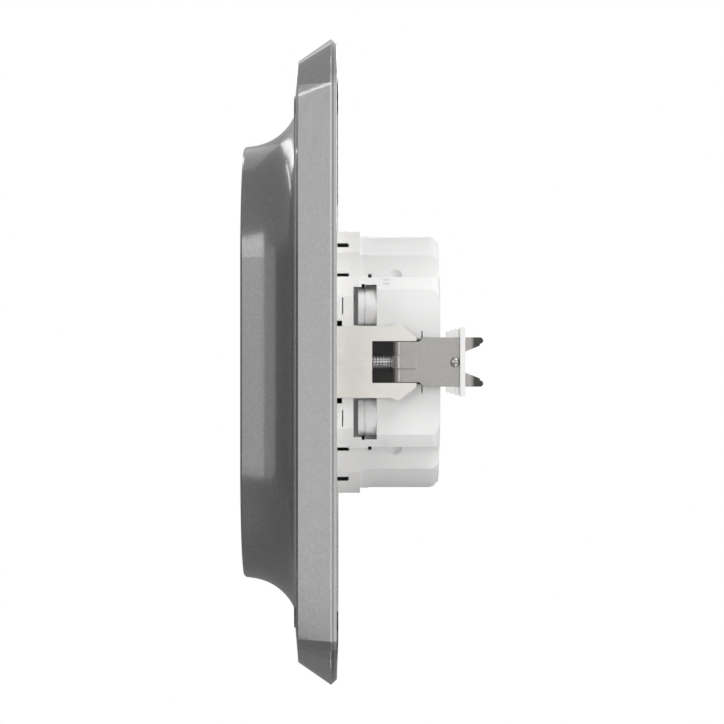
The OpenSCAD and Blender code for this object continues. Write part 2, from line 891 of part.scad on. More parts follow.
// Outline of a claw's leg, drawn with the depth along x: a neck between the strap's prongs,
// shoulders, and two teeth on each side of a notch
module claw_outline() {
    tooth_y = claw_w / 2 - claw_tooth_r;
    difference() {
        union() {
            translate([claw_front_depth, -claw_neck_w / 2])
                square([claw_tip_depth - claw_front_depth, claw_neck_w]);
            polygon([
                [claw_shoulder_depth, -claw_neck_w / 2],
                [claw_shoulder_depth + claw_shoulder_l, -claw_w / 2],
                [claw_depth - claw_tooth_r, -claw_w / 2],
                [claw_depth - claw_tooth_r, claw_w / 2],
                [claw_shoulder_depth + claw_shoulder_l, claw_w / 2],
                [claw_shoulder_depth, claw_neck_w / 2]
            ]);
            for (s = [-1, 1]) translate([claw_depth - claw_tooth_r, s * tooth_y]) circle(claw_tooth_r);
        }
        polygon([
            [claw_notch_depth, -claw_notch_root_y],
            [claw_notch_depth, claw_notch_root_y],
            [claw_depth, claw_notch_tip_y],
            [claw_depth + overrun, claw_notch_tip_y],
            [claw_depth + overrun, -claw_notch_tip_y],
            [claw_depth, -claw_notch_tip_y]
        ]);
    }
}

// A section drawn with x outwards and the depth along -y, run across the claw
module across(w) {
    rotate([90, 0, 0]) linear_extrude(height = w, center = true) children();
}

// Section of the leg: straight, with its tips bent outwards to bite into the box
module leg_section() {
    tip_out = (claw_depth - claw_tip_depth) * tan(claw_tip_deg);
    polygon([
        [claw_x, -claw_front_depth - claw_bend_r],
        [claw_x, -claw_tip_depth],
        [claw_x + tip_out, -claw_depth],
        [claw_x + tip_out + claw_t / cos(claw_tip_deg), -claw_depth],
        [claw_x + claw_t, claw_t * tan(claw_tip_deg / 2) - claw_tip_depth],
        [claw_x + claw_t, -claw_front_depth - claw_bend_r]
    ]);
}

// Quarter ring at the bend, and the straight piece beside it that ends at an inner place
module bend_section(r, t, end_x) {
    bend_x = claw_x + claw_t - claw_bend_r;
    translate([bend_x, -claw_front_depth - claw_bend_r]) difference() {
        intersection() {
            circle(r);
            square(r + overrun);
        }
        circle(r - t);
    }
    translate([end_x, r - t - claw_bend_r - claw_front_depth]) square([bend_x - end_x, t]);
}

// Stiffening rib pressed across the bend
module claw_rib() {
    face_x = claw_x + claw_t;
    across(claw_rib_w) union() {
        bend_section(claw_bend_r + claw_rib_t, claw_rib_t + skin, face_x - claw_bend_r - claw_rib_t);
        translate([face_x - skin, -claw_rib_depth])
            square([claw_rib_t + skin, claw_rib_depth - claw_front_depth - claw_bend_r]);
    }
}

// Domed rivet head on the leg
module claw_rivet() {
    translate([claw_x + claw_t - skin, 0, -claw_rivet_depth]) rotate([0, 90, 0]) intersection() {
        cylinder(h = claw_rivet_t, r = claw_rivet_r);
        translate([0, 0, claw_rivet_t - claw_rivet_dome_r]) sphere(claw_rivet_dome_r);
    }
}

// Claw on the right side: the toothed leg, and a tab bent inwards with the screw's hole
module claw() {
    difference() {
        union() {
            intersection() {
                across(claw_w + overrun) leg_section();
                side_sheet(claw_x - overrun, claw_w) claw_outline();
            }
            across(claw_neck_w) bend_section(claw_bend_r, claw_t, claw_tab_x);
            claw_rib();
            claw_rivet();
        }
        translate([claw_screw_x, 0, 0])
            bar(claw_hole_d / 2, -claw_front_depth - claw_t - overrun, -claw_front_depth + overrun);
    }
}

// Claw screw: its head lies on the contact cover and its tip reaches past the housing
module claw_screw() {
    translate([claw_screw_x, 0, lid_t]) {
        pan_screw(claw_screw_d, claw_screw_head_d, claw_screw_head_h, lid_t + claw_screw_l - claw_screw_tip_l);
        translate([0, 0, -lid_t - claw_screw_l])
            cylinder(h = claw_screw_tip_l + skin, r1 = claw_screw_tip_d / 2, r2 = claw_screw_d / 2);
    }
}

// Plastic keeper clipped round the claw's leg: a bar over its face and a step flush with the face
module claw_keeper() {
    difference() {
        union() {
            block([claw_x - keeper_wall, -keeper_w / 2, -keeper_depth - keeper_t],
                [claw_x + claw_t + keeper_wall, keeper_w / 2, -keeper_step_depth]);
            block([claw_x - keeper_wall, keeper_step_y - keeper_w / 2, -keeper_step_depth - skin],
                [claw_x + claw_t, keeper_w / 2 - keeper_step_y, -keeper_depth]);
        }
        block([claw_x - skin, -claw_w / 2 - skin, -keeper_depth - keeper_t - overrun],
            [claw_x + claw_t + skin, claw_w / 2 + skin, -keeper_depth + overrun]);
    }
}

module right_claw() {
    color(bare_steel) upright() claw();
}

module left_claw() {
    color(bare_steel) upright() mirror([1, 0, 0]) claw();
}

module right_claw_screw() {
    color(zinc_steel) upright() claw_screw();
}

module left_claw_screw() {
    color(zinc_steel) upright() translate([-2 * claw_screw_x, 0, 0]) claw_screw();
}

module right_claw_keeper() {
    color(white_plastic) upright() claw_keeper();
}

module left_claw_keeper() {
    color(white_plastic) upright() mirror([1, 0, 0]) claw_keeper();
}

cover_frame();
cover();
cover_screws();
support_plate();
contact_cover();
base();
assembly_screws();
live_strip();
neutral_strip();
earth_strip();
live_clamp();
neutral_clamp();
earth_clamp();
live_terminal_screw();
neutral_terminal_screw();
earth_terminal_screw();
right_claw();
left_claw();
right_claw_screw();
left_claw_screw();
right_claw_keeper();
left_claw_keeper();
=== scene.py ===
"""Looks of the double wall socket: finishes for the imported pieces, screw threads and the stage."""

import math

import bmesh
import bpy
from bpy.props import FloatProperty, FloatVectorProperty, IntProperty, PointerProperty
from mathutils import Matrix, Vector


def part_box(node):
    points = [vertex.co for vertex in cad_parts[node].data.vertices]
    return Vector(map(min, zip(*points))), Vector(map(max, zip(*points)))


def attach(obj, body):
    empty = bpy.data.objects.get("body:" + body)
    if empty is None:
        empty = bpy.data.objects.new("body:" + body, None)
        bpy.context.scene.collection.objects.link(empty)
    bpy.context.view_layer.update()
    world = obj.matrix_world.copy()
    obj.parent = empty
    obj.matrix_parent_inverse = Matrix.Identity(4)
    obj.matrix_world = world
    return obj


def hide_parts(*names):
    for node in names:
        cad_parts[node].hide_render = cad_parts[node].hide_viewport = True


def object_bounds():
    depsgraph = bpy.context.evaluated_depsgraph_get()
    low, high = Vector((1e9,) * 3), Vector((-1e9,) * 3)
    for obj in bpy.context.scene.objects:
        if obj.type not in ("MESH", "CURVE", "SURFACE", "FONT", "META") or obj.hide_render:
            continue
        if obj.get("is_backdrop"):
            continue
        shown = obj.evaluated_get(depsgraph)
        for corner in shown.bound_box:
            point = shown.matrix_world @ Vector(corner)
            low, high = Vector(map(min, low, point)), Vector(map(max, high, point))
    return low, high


bl_info = {
    "name": "Double wall socket",
    "version": (1, 0, 0),
    "blender": (4, 5, 0),
    "location": "View3D > Sidebar > Socket",
    "description": "Finishes, screw threads and stage for a double earthed wall socket",
    "category": "Object",
}

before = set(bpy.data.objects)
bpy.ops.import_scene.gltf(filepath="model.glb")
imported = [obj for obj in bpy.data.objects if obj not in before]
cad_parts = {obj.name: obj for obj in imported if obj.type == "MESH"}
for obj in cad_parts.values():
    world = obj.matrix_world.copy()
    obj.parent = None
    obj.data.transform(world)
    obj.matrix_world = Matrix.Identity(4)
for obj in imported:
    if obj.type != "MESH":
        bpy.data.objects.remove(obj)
CAD_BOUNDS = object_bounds()
MM = 0.001

# Boxes of the frame, claws and housing that get painted shade, in millimetres
FRAME_SHADOW = ((-500, -0.9, -500), (500, -0.7, 500))
SHADED_TOOTH_TIPS = ((-50, 30.1, -50), (50, 40, 50))
SHADED_HOUSING_WINDOWS = ((-24.5, 6.5, -4.9), (24.5, 20, 4.9))

# Small openings of the housing whose insides get painted shade, in millimetres: how far they reach
# on either side of the middle, then y and z from and to, with a twin at the mirrored z
SHADED_HOLLOWS = (
    (14.6, 0, 2.3, 25.92, 26.62),
    (21.7, 6.95, 7.6, 18.7, 19.6),
    (22.8, 5.45, 6.2, 16.5, 17.35),
)

# Claw screw
SHANK_RADIUS = 1.5 * MM
HEAD_HEIGHT = 2.0 * MM
HEAD_CHAMFER = 0.15 * MM
ROWS_PER_TURN = 6
RUNOUT_TURNS = 4
TIP_SHARE = 0.45
CREST_SHARE = 0.2

# Stage, in metres and degrees. Lamps and panels are placed round LIT_PLACE.
LIT_PLACE = Vector((30, -5, 0)) * MM
EYE_Y = 2.85 * MM
AIM_Y = 5.4 * MM
NEAR_CLIP = 0.01
FLOOR_HALF_SIZE = 4.0
FLOOR_DROP = 0.6
FLOOR_GREY = 0.35

# Name, azimuth, elevation, distance, width and height, and the setting that holds its power
SOFTBOXES = (
    ("front", 32, -3.5, 1.0, (0.66, 0.30), "front_power"),
    ("high", 31, 14.5, 1.0, (0.66, 0.33), "high_power"),
    ("near", -8, 0, 1.0, (0.34, 0.34), "near_power"),
    ("over", -42, 55, 0.9, (0.6, 0.5), "over_power"),
    ("under", -42, -55, 0.7, (0.5, 0.4), "under_power"),
    ("fill", -33, 0, 1.0, (0.3, 0.5), "fill_power"),
    ("crown", 166, 52, 0.9, (0.40, 0.72), "crown_power"),
    ("rim", 180, 12, 0.9, (0.09, 0.24), "rim_power"),
    ("wall", -88, 0, 0.9, (0.5, 0.5), "beside_power"),
    ("streak", 147, 22, 0.7, (0.15, 0.20), "streak_power"),
    ("slit", 133, 21, 0.7, (0.03, 0.14), "slit_power"),
)

# Outlines of the tapered panel and of its trim, as places across and up
PANEL_AZIMUTH = 70
PANEL_OUTLINE = ((-0.11, 0.115), (-0.11, -0.115), (0.14, -0.220), (0.33, -0.16), (0.33, 0.16),
                 (0.14, 0.210))
TRIM_OUTLINE = ((-0.11, 0.115), (0.14, 0.210), (0.14, 0.2113), (-0.11, 0.1163))


class SocketFinishes(bpy.types.PropertyGroup):
    """Colours and textures of the socket's finishes."""

    frame_silver: FloatVectorProperty(
        name="Frame silver", description="Base colour of the outer frame's paint",
        subtype="COLOR", size=3, min=0, max=1, default=(0.40, 0.40, 0.40))
    cover_silver: FloatVectorProperty(
        name="Cover silver", description="Base colour of the cover's lacquer",
        subtype="COLOR", size=3, min=0, max=1, default=(0.165, 0.165, 0.168))
    flake_silver: FloatVectorProperty(
        name="Flake silver", description="Colour of the metal flakes in both paints",
        subtype="COLOR", size=3, min=0, max=1, default=(0.62, 0.62, 0.63))
    housing_white: FloatVectorProperty(
        name="Housing white", description="Colour of the moulded housing",
        subtype="COLOR", size=3, min=0, max=1, default=(0.80, 0.80, 0.795))
    keeper_white: FloatVectorProperty(
        name="Keeper white", description="Colour of the claw keepers",
        subtype="COLOR", size=3, min=0, max=1, default=(0.77, 0.77, 0.765))
    plate_zinc: FloatVectorProperty(
        name="Plate zinc", description="Colour of the zinc plated support plate",
        subtype="COLOR", size=3, min=0, max=1, default=(0.72, 0.70, 0.66))
    claw_steel: FloatVectorProperty(
        name="Claw steel", description="Colour of the claws' spring steel",
        subtype="COLOR", size=3, min=0, max=1, default=(0.385, 0.375, 0.36))
    screw_steel: FloatVectorProperty(
        name="Screw steel", description="Colour of the screws",
        subtype="COLOR", size=3, min=0, max=1, default=(0.60, 0.60, 0.60))
    contact_brass: FloatVectorProperty(
        name="Contact brass", description="Colour of the contact strips",
        subtype="COLOR", size=3, min=0, max=1, default=(0.63, 0.46, 0.20))
    flake_size: FloatProperty(
        name="Flake size", description="Size of a metal flake in the paint",
        unit="LENGTH", min=0.00005, max=0.002, default=0.00035)


class SocketSizes(bpy.types.PropertyGroup):
    """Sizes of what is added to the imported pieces."""

    thread_pitch: FloatProperty(
        name="Thread pitch", description="Distance between two turns of a claw screw's thread",
        unit="LENGTH", min=0.0003, max=0.001, default=0.0007)
    thread_depth: FloatProperty(
        name="Thread depth", description="Depth of the thread's groove",
        unit="LENGTH", min=0.0001, max=0.0005, default=0.00036)
    thread_segments: IntProperty(
        name="Thread segments", description="Steps in one turn of the thread",
        min=12, max=64, default=28)


class SocketStage(bpy.types.PropertyGroup):
    """Camera and lamps round the socket."""

    camera_distance: FloatProperty(
        name="Camera distance", description="Distance from the camera to the frame's nearer side",
        unit="LENGTH", min=0.3, max=2, default=0.560)
    picture_width: FloatProperty(
        name="Picture width",
        description="Width that the picture covers at the frame's nearer side",
        unit="LENGTH", min=0.1, max=0.3, default=0.1542)
    front_power: FloatProperty(
        name="Front power",
        description="Power of the low softbox that the flat side of the cover mirrors",
        unit="POWER", min=0, max=50, default=0.95)
    high_power: FloatProperty(
        name="High power", description="Power of the softbox above the low one",
        unit="POWER", min=0, max=50, default=1.9)
    near_power: FloatProperty(
        name="Near power", description="Power of the softbox round the camera",
        unit="POWER", min=0, max=50, default=0.36)
    over_power: FloatProperty(
        name="Over power", description="Power of the softbox high on the wall's side",
        unit="POWER", min=0, max=50, default=3.9)
    under_power: FloatProperty(
        name="Under power", description="Power of the softbox low on the wall's side",
        unit="POWER", min=0, max=50, default=1.7)
    fill_power: FloatProperty(
        name="Fill power", description="Power of the softbox between the camera and the wall",
        unit="POWER", min=0, max=50, default=1.6)
    crown_power: FloatProperty(
        name="Crown power", description="Power of the softbox high behind the socket",
        unit="POWER", min=0, max=50, default=0.36)
    rim_power: FloatProperty(
        name="Rim power", description="Power of the low softbox behind the socket",
        unit="POWER", min=0, max=50, default=0.4)
    beside_power: FloatProperty(
        name="Beside power", description="Power of the softbox beside the wall box",
        unit="POWER", min=0, max=50, default=0.3)
    streak_power: FloatProperty(
        name="Streak power",
        description="Power of the small softbox that the flare's upper end mirrors",
        unit="POWER", min=0, max=50, default=0.2)
    slit_power: FloatProperty(
        name="Slit power", description="Power of the narrow softbox beside the small one",
        unit="POWER", min=0, max=50, default=0.06)
    panel_strength: FloatProperty(
        name="Panel strength",
        description="Radiance of the tapered panel that the frame's bevel mirrors",
        min=0, max=10, default=0.9)
    trim_strength: FloatProperty(
        name="Trim strength",
        description="Radiance of the bright trim along the panel's upper edge",
        min=0, max=50, default=8.0)
    wall_sky: FloatProperty(
        name="Wall ambient", description="Strength of the even light from the wall's side",
        min=0, max=2, default=0.64)
    upper_sky: FloatProperty(
        name="Upper ambient",
        description="Strength of the even light from above on the room's side",
        min=0, max=2, default=0.45)
    lower_sky: FloatProperty(
        name="Lower ambient",
        description="Strength of the even light from below on the room's side",
        min=0, max=2, default=0.13)


def finishes():
    return bpy.context.scene.socket_finishes


def sizes():
    return bpy.context.scene.socket_sizes


def stage():
    return bpy.context.scene.socket_stage


# Shader helpers

def add_node(tree, kind, **values):
    """A new shader node with its properties set."""
    node = tree.nodes.new(kind)
    for name, value in values.items():
        setattr(node, name, value)
    return node


def link(tree, start, end):
    tree.links.new(start, end)


def feed(tree, value, socket):
    """Links an output to a socket, or sets a number on it."""
    if isinstance(value, bpy.types.NodeSocket):
        link(tree, value, socket)
    else:
        socket.default_value = value


def new_group(name, inputs, outputs):
    """An empty shader node group with named sockets. Each socket is (name, kind, default)."""
    group = bpy.data.node_groups.new(name, "ShaderNodeTree")
    for in_out, sockets in (("INPUT", inputs), ("OUTPUT", outputs)):
        for socket_name, kind, default in sockets:
            socket = group.interface.new_socket(
                name=socket_name, in_out=in_out, socket_type="NodeSocket" + kind)
            if default is not None:
                socket.default_value = default
    return group, group.nodes.new("NodeGroupInput"), group.nodes.new("NodeGroupOutput")


def noise(tree, vector, scale_socket, detail, roughness):
    """Noise texture over object coordinates, with its scale from a socket."""
    node = add_node(tree, "ShaderNodeTexNoise")
    node.inputs["Detail"].default_value = detail
    node.inputs["Roughness"].default_value = roughness
    link(tree, vector, node.inputs["Vector"])
    link(tree, scale_socket, node.inputs["Scale"])
    return node.outputs["Fac"]


def multiply(tree, value, factor):
    """A value times a constant or times another value."""
    node = add_node(tree, "ShaderNodeMath", operation="MULTIPLY")
    link(tree, value, node.inputs[0])
    feed(tree, factor, node.inputs[1])
    return node.outputs[0]


def multiply_add(tree, value, factor, addend):
    """A value times a constant, plus another value."""
    node = add_node(tree, "ShaderNodeMath", operation="MULTIPLY_ADD")
    link(tree, value, node.inputs[0])
    node.inputs[1].default_value = factor
    link(tree, addend, node.inputs[2])
    return node.outputs[0]


def larger(tree, first, second):
    """The larger of two values."""
    node = add_node(tree, "ShaderNodeMath", operation="MAXIMUM")
    link(tree, first, node.inputs[0])
    link(tree, second, node.inputs[1])
    return node.outputs[0]


def vector_math(tree, operation, first, second):
    """A component by component difference or other operation of two vectors."""
    node = add_node(tree, "ShaderNodeVectorMath", operation=operation)
    link(tree, first, node.inputs[0])
    link(tree, second, node.inputs[1])
    return node.outputs[0]


def ramp(tree, value, low, high, to_low, to_high):
    """A value mapped from one range to another, clamped."""
    node = add_node(tree, "ShaderNodeMapRange")
    link(tree, value, node.inputs["Value"])
    feed(tree, low, node.inputs["From Min"])
    feed(tree, high, node.inputs["From Max"])
    feed(tree, to_low, node.inputs["To Min"])
    feed(tree, to_high, node.inputs["To Max"])
    return node.outputs["Result"]


def mix_colour(tree, factor, first, second, blend="MIX"):
    """Two colours mixed by a factor. Inputs 6 and 7 and output 2 are the node's colour sockets."""
    node = add_node(tree, "ShaderNodeMix", data_type="RGBA", blend_type=blend)
    feed(tree, factor, node.inputs[0])
    link(tree, first, node.inputs[6])
    link(tree, second, node.inputs[7])
    return node.outputs[2]


def object_coordinates(tree):
    return add_node(tree, "ShaderNodeTexCoord").outputs["Object"]


# Shared effects

def flake_group():
    """Metal flakes in a paint: sparse bright grains over a faintly mottled base."""
    group, inside, outside = new_group(
        "Metal flake",
        [("Base", "Color", (0.4, 0.4, 0.4, 1)), ("Flake", "Color", (0.6, 0.6, 0.6, 1)),
         ("Scale", "Float", 3000), ("Mottle Scale", "Float", 300), ("Amount", "Float", 0.3),
         ("Roughness", "Float", 0.4)],
        [("Color", "Color", None), ("Roughness", "Float", None), ("Height", "Float", None)])
    where = object_coordinates(group)
    cells = add_node(group, "ShaderNodeTexVoronoi", feature="F1")
    link(group, where, cells.inputs["Vector"])
    link(group, inside.outputs["Scale"], cells.inputs["Scale"])
    parts = add_node(group, "ShaderNodeSeparateColor")
    link(group, cells.outputs["Color"], parts.inputs[0])
    bright_cells = ramp(group, parts.outputs[0], 0.45, 1.0, 0.0, 1.0)
    flake = multiply(group, bright_cells, inside.outputs["Amount"])
    flaked = mix_colour(group, flake, inside.outputs["Base"], inside.outputs["Flake"])
    mottle = noise(group, where, inside.outputs["Mottle Scale"], 3, 0.6)
    mottled = mix_colour(group, 1, flaked, ramp(group, mottle, 0.3, 0.7, 0.98, 1.02), "MULTIPLY")
    link(group, mottled, outside.inputs["Color"])
    link(group, multiply_add(group, parts.outputs[1], 0.08, inside.outputs["Roughness"]),
         outside.inputs["Roughness"])
    link(group, parts.outputs[2], outside.inputs["Height"])
    return group


def moulding_group():
    """Moulded plastic: a slow change of shade and a fine spark-eroded grain."""
    group, inside, outside = new_group(
        "Moulded plastic",
        [("Base", "Color", (0.8, 0.8, 0.8, 1)), ("Shade", "Color", (0.7, 0.7, 0.7, 1)),
         ("Shade Scale", "Float", 60), ("Grain Scale", "Float", 5000),
         ("Roughness", "Float", 0.45)],
        [("Color", "Color", None), ("Roughness", "Float", None), ("Height", "Float", None)])
    where = object_coordinates(group)
    slow = noise(group, where, inside.outputs["Shade Scale"], 4, 0.55)
    grain = noise(group, where, inside.outputs["Grain Scale"], 2, 0.5)
    colour = mix_colour(group, ramp(group, slow, 0.35, 0.75, 0, 0.5), inside.outputs["Base"],
                        inside.outputs["Shade"])
    link(group, colour, outside.inputs["Color"])
    link(group, multiply_add(group, grain, 0.12, inside.outputs["Roughness"]),
         outside.inputs["Roughness"])
    link(group, grain, outside.inputs["Height"])
    return group


def rolled_group():
    """Rolled or plated sheet: grain stretched along the strip, over cloudy spangle."""
    group, inside, outside = new_group(
        "Rolled sheet",
        [("Base", "Color", (0.6, 0.6, 0.6, 1)), ("Dark", "Color", (0.4, 0.4, 0.4, 1)),
         ("Grain Scale", "Float", 1800), ("Spangle Scale", "Float", 500),
         ("Roughness", "Float", 0.35)],
        [("Color", "Color", None), ("Roughness", "Float", None), ("Height", "Float", None)])
    where = object_coordinates(group)
    stretch = add_node(group, "ShaderNodeMapping")
    stretch.inputs["Scale"].default_value = (1, 0.12, 1)
    link(group, where, stretch.inputs["Vector"])
    grain = noise(group, stretch.outputs[0], inside.outputs["Grain Scale"], 3, 0.6)
    spangle = noise(group, where, inside.outputs["Spangle Scale"], 4, 0.65)
    both = add_node(group, "ShaderNodeMath", operation="ADD")
    link(group, multiply(group, grain, 0.45), both.inputs[0])
    link(group, multiply(group, spangle, 0.55), both.inputs[1])
    mask = ramp(group, both.outputs[0], 0.38, 0.66, 0, 1)
    link(group, mix_colour(group, mask, inside.outputs["Base"], inside.outputs["Dark"]),
         outside.inputs["Color"])
    link(group, multiply_add(group, spangle, 0.2, inside.outputs["Roughness"]),
         outside.inputs["Roughness"])
    link(group, both.outputs[0], outside.inputs["Height"])
    return group


def shaded_box_group():
    """Painted shade: a colour made darker inside a box with soft sides."""
    group, inside, outside = new_group(
        "Shaded box",
        [("Color", "Color", (0.8, 0.8, 0.8, 1)), ("Centre", "Vector", (0, 0, 0)),
         ("Half Size", "Vector", (1, 1, 1)), ("Softness", "Float", 0.0001),
         ("Shade", "Float", 0.5)],
        [("Color", "Color", None)])
    where, centre = object_coordinates(group), inside.outputs["Centre"]
    away = vector_math(group, "MAXIMUM", vector_math(group, "SUBTRACT", where, centre),
                       vector_math(group, "SUBTRACT", centre, where))
    beyond = add_node(group, "ShaderNodeSeparateXYZ")
    link(group, vector_math(group, "SUBTRACT", away, inside.outputs["Half Size"]),
         beyond.inputs[0])
    sideways = larger(group, beyond.outputs["X"], beyond.outputs["Y"])
    furthest = larger(group, sideways, beyond.outputs["Z"])
    shade = ramp(group, furthest, 0, inside.outputs["Softness"], inside.outputs["Shade"], 1)
    link(group, mix_colour(group, 1, inside.outputs["Color"], shade, "MULTIPLY"),
         outside.inputs["Color"])
    return group


SHARED = {}


def shared(name, make):
    """A shader node group, made once."""
    if name not in SHARED:
        SHARED[name] = make()
    return SHARED[name]


def effect_material(name, group, inputs, bump, **shader):
    """A material whose colour, roughness and relief come from a shared effect."""
    material = bpy.data.materials.new(name)
    material.use_nodes = True
    tree = material.node_tree
    principled = tree.nodes["Principled BSDF"]
    for socket, value in shader.items():
        principled.inputs[socket.replace("_", " ")].default_value = value
    effect = add_node(tree, "ShaderNodeGroup", node_tree=group)
    for socket, value in inputs.items():
        effect.inputs[socket].default_value = value
    link(tree, effect.outputs["Color"], principled.inputs["Base Color"])
    link(tree, effect.outputs["Roughness"], principled.inputs["Roughness"])
    relief = add_node(tree, "ShaderNodeBump")
    relief.inputs["Strength"].default_value = 1
    relief.inputs["Distance"].default_value = bump
    link(tree, effect.outputs["Height"], relief.inputs["Height"])
    link(tree, relief.outputs["Normal"], principled.inputs["Normal"])
    return material


def round_edges(material, radius):
    """Rounds the shading of a material's sharp edges."""
    tree = material.node_tree
    edges = add_node(tree, "ShaderNodeBevel")
    edges.samples = 6
    edges.inputs["Radius"].default_value = radius
    relief = next(node for node in tree.nodes if node.type == "BUMP")
    link(tree, edges.outputs[0], relief.inputs["Normal"])
    return material


def shade_box(material, low, high, softness, shade):
    """Paints shade on a material inside a box of object coordinates, all in millimetres."""
    tree = material.node_tree
    base = tree.nodes["Principled BSDF"].inputs["Base Color"]
    box = add_node(tree, "ShaderNodeGroup", node_tree=shared("shaded box", shaded_box_group))
    box.inputs["Centre"].default_value = [(a + b) / 2 * MM for a, b in zip(low, high)]
    box.inputs["Half Size"].default_value = [(b - a) / 2 * MM for a, b in zip(low, high)]
    box.inputs["Softness"].default_value = softness * MM
    box.inputs["Shade"].default_value = shade
    link(tree, base.links[0].from_socket, box.inputs["Color"])
    link(tree, box.outputs["Color"], base)
    return material


def rgba(colour, factor=1.0):
    """A colour setting times a factor, with an opaque alpha."""
    return (colour[0] * factor, colour[1] * factor, colour[2] * factor, 1)


# Finishes

def frame_paint():
    material = effect_material(
        "frame paint", shared("flake", flake_group),
        {"Base": rgba(finishes().frame_silver), "Flake": rgba(finishes().flake_silver),
         "Scale": 1 / finishes().flake_size, "Mottle Scale": 250, "Amount": 0.15,
         "Roughness": 0.08},
        bump=0.001 * MM, Metallic=0.95, Coat_Weight=1.0, Coat_Roughness=0.02, Coat_IOR=1.75)
    shade_box(material, *FRAME_SHADOW, softness=0.2, shade=0.5)
    return round_edges(material, radius=0.2 * MM)


def cover_lacquer():
    return effect_material(
        "cover lacquer", shared("flake", flake_group),
        {"Base": rgba(finishes().cover_silver), "Flake": rgba(finishes().flake_silver),
         "Scale": 1 / finishes().flake_size, "Mottle Scale": 250, "Amount": 0.06,
         "Roughness": 0.17},
        bump=0.001 * MM, Metallic=0.4, Specular_IOR_Level=0.5, Coat_Weight=0.7, Coat_Roughness=0.1)


def white_moulding(name, colour, roughness):
    return effect_material(
        name, shared("moulding", moulding_group),
        {"Base": rgba(colour), "Shade": rgba(colour, 0.93), "Shade Scale": 70, "Grain Scale": 4000,
         "Roughness": roughness},
        bump=0.004 * MM, Specular_IOR_Level=0.45, Subsurface_Weight=0.08, Subsurface_Scale=1.2 * MM)


def sheet_metal(name, colour, dark, roughness, metallic, spangle, bump):
    return effect_material(
        name, shared("rolled", rolled_group),
        {"Base": rgba(colour), "Dark": rgba(colour, dark), "Grain Scale": 1800,
         "Spangle Scale": spangle, "Roughness": roughness},
        bump=bump, Metallic=metallic)


def plate_zinc():
    return sheet_metal("plate zinc", finishes().plate_zinc, dark=0.93, roughness=0.38,
                       metallic=0.35, spangle=220, bump=0.003 * MM)


def claw_steel():
    material = sheet_metal("claw steel", finishes().claw_steel, dark=0.90, roughness=0.20,
                           metallic=0.8, spangle=2600, bump=0.0012 * MM)
    # painted shade on the claws' tooth tips
    shade_box(material, *SHADED_TOOTH_TIPS, softness=0.9, shade=0.12)
    return round_edges(material, radius=0.28 * MM)


def screw_steel():
    return sheet_metal("screw steel", finishes().screw_steel, dark=0.8, roughness=0.06,
                       metallic=0.95, spangle=900, bump=0.003 * MM)


def contact_brass():
    return sheet_metal("contact brass", finishes().contact_brass, dark=0.86, roughness=0.3,
                       metallic=0.9, spangle=600, bump=0.004 * MM)


def dress(material, *names):
    """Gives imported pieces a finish, in every material slot of their objects."""
    for name in names:
        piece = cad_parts[name]
        if not piece.material_slots:
            piece.data.materials.append(material)
        for material_slot in piece.material_slots:
            material_slot.link = "OBJECT"
            material_slot.material = material


# Threads

def bridge(mesh, first, second):
    """Faces between two closed rings of vertices."""
    count = len(first)
    for i in range(count):
        mesh.faces.new((first[i], first[(i + 1) % count], second[(i + 1) % count], second[i]))


def thread_offset(turns):
    """Share of the thread's depth at a place along the helix: a V groove with flat crests."""
    phase = turns % 1.0
    return max(0.0, 1 - abs(phase - 0.5) / (0.5 - CREST_SHARE / 2))


def threaded_screw(name, node, body, x):
    """A claw screw with a rolled thread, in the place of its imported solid."""
    low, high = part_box(node)
    head_r = (high.x - low.x) / 2
    head_y, tip_y = low.y + HEAD_HEIGHT, high.y
    pitch, depth, segments = sizes().thread_pitch, sizes().thread_depth, sizes().thread_segments
    rows = int((tip_y - head_y) / pitch * ROWS_PER_TURN)
    mesh = bmesh.new()

    def ring(radius, y, threaded=False):
        verts = []
        for i in range(segments):
            angle = 2 * math.pi * i / segments
            r = radius
            if threaded:
                r -= depth * thread_offset((y - head_y) / pitch + i / segments)
            verts.append(mesh.verts.new((x + r * math.cos(angle), y, -r * math.sin(angle))))
        return verts

    rings = [ring(head_r - HEAD_CHAMFER, low.y), ring(head_r, low.y + HEAD_CHAMFER),
             ring(head_r, head_y - HEAD_CHAMFER), ring(head_r - HEAD_CHAMFER, head_y),
             ring(SHANK_RADIUS, head_y)]
    for row in range(1, rows):
        y = head_y + (tip_y - head_y) * row / rows
        taper = min(1.0, (rows - row) / (RUNOUT_TURNS * ROWS_PER_TURN) + TIP_SHARE)
        rings.append(ring(SHANK_RADIUS * taper, y, threaded=row > ROWS_PER_TURN))
    rings.append(ring(SHANK_RADIUS * TIP_SHARE, tip_y))
    for first, second in zip(rings, rings[1:]):
        bridge(mesh, first, second)
    mesh.faces.new(reversed(rings[0]))
    mesh.faces.new(rings[-1])
    bmesh.ops.recalc_face_normals(mesh, faces=mesh.faces)
    data = bpy.data.meshes.new(name)
    mesh.to_mesh(data)
    mesh.free()
    piece = bpy.data.objects.new(name, data)
    bpy.context.scene.collection.objects.link(piece)
    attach(piece, body)
    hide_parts(node)
    return piece


# Operators

class SOCKET_OT_finish_frame(bpy.types.Operator):
    """Paints the bevelled outer frame silver"""

    bl_idname = "socket.finish_frame"
    bl_label = "Frame"

    def execute(self, context):
        dress(frame_paint(), "cover_frame")
        return {"FINISHED"}


class SOCKET_OT_finish_cover(bpy.types.Operator):
    """Lacquers the cover with its two wells"""

    bl_idname = "socket.finish_cover"
    bl_label = "Cover"

    def execute(self, context):
        dress(cover_lacquer(), "cover")
        return {"FINISHED"}


